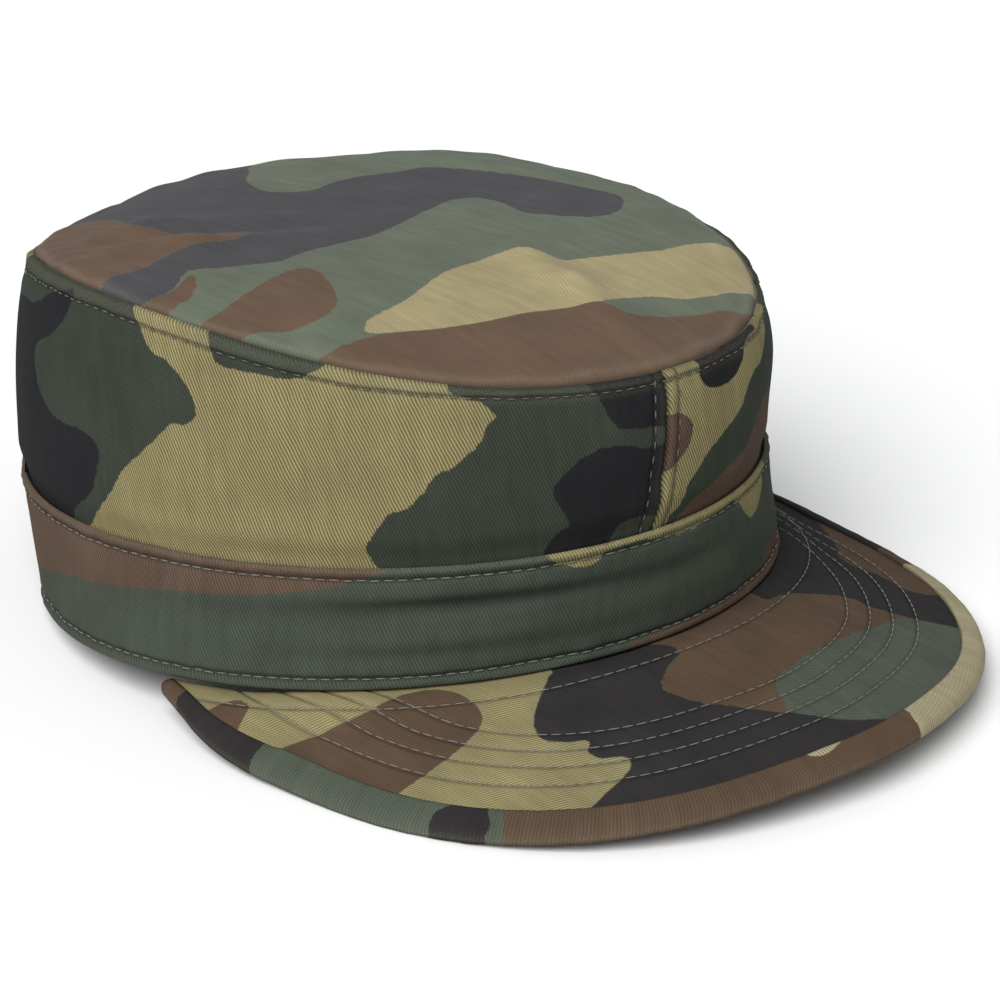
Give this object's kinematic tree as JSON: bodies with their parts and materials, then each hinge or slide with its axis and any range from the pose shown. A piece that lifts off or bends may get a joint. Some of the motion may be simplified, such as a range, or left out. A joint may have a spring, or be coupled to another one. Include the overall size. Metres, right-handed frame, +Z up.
{
  "type": "fatigue cap",
  "caption": "Soft flat-topped field cap with an upright crown, a wide head band and a drooping stitched visor, in woodland camouflage cotton twill",
  "frame": {"origin": "centre of the bounding box at floor height, with the cap resting on its rear rim and its visor", "axes": "+Z up, -Y out of the front through the visor, +X towards the wearer's left; longest along Y, shortest along Z"},
  "size_m": [0.2155, 0.2816, 0.1051],
  "materials": {
    "band_cloth": "matt cotton twill, woodland camouflage, mostly green",
    "side_cloth": "matt cotton twill, woodland camouflage, tan and green",
    "top_cloth": "matt cotton twill, woodland camouflage, slightly faded",
    "visor_cloth": "matt cotton twill over a stiff core, woodland camouflage",
    "binding_cloth": "matt ribbed cotton strip, woodland camouflage"
  },
  "bodies": {
    "root": {"band": "band_cloth", "crown_side_right": "side_cloth", "crown_side_left": "side_cloth", "crown_top": "top_cloth", "visor": "visor_cloth", "visor_binding": "binding_cloth"}
  },
  "joints": []
}
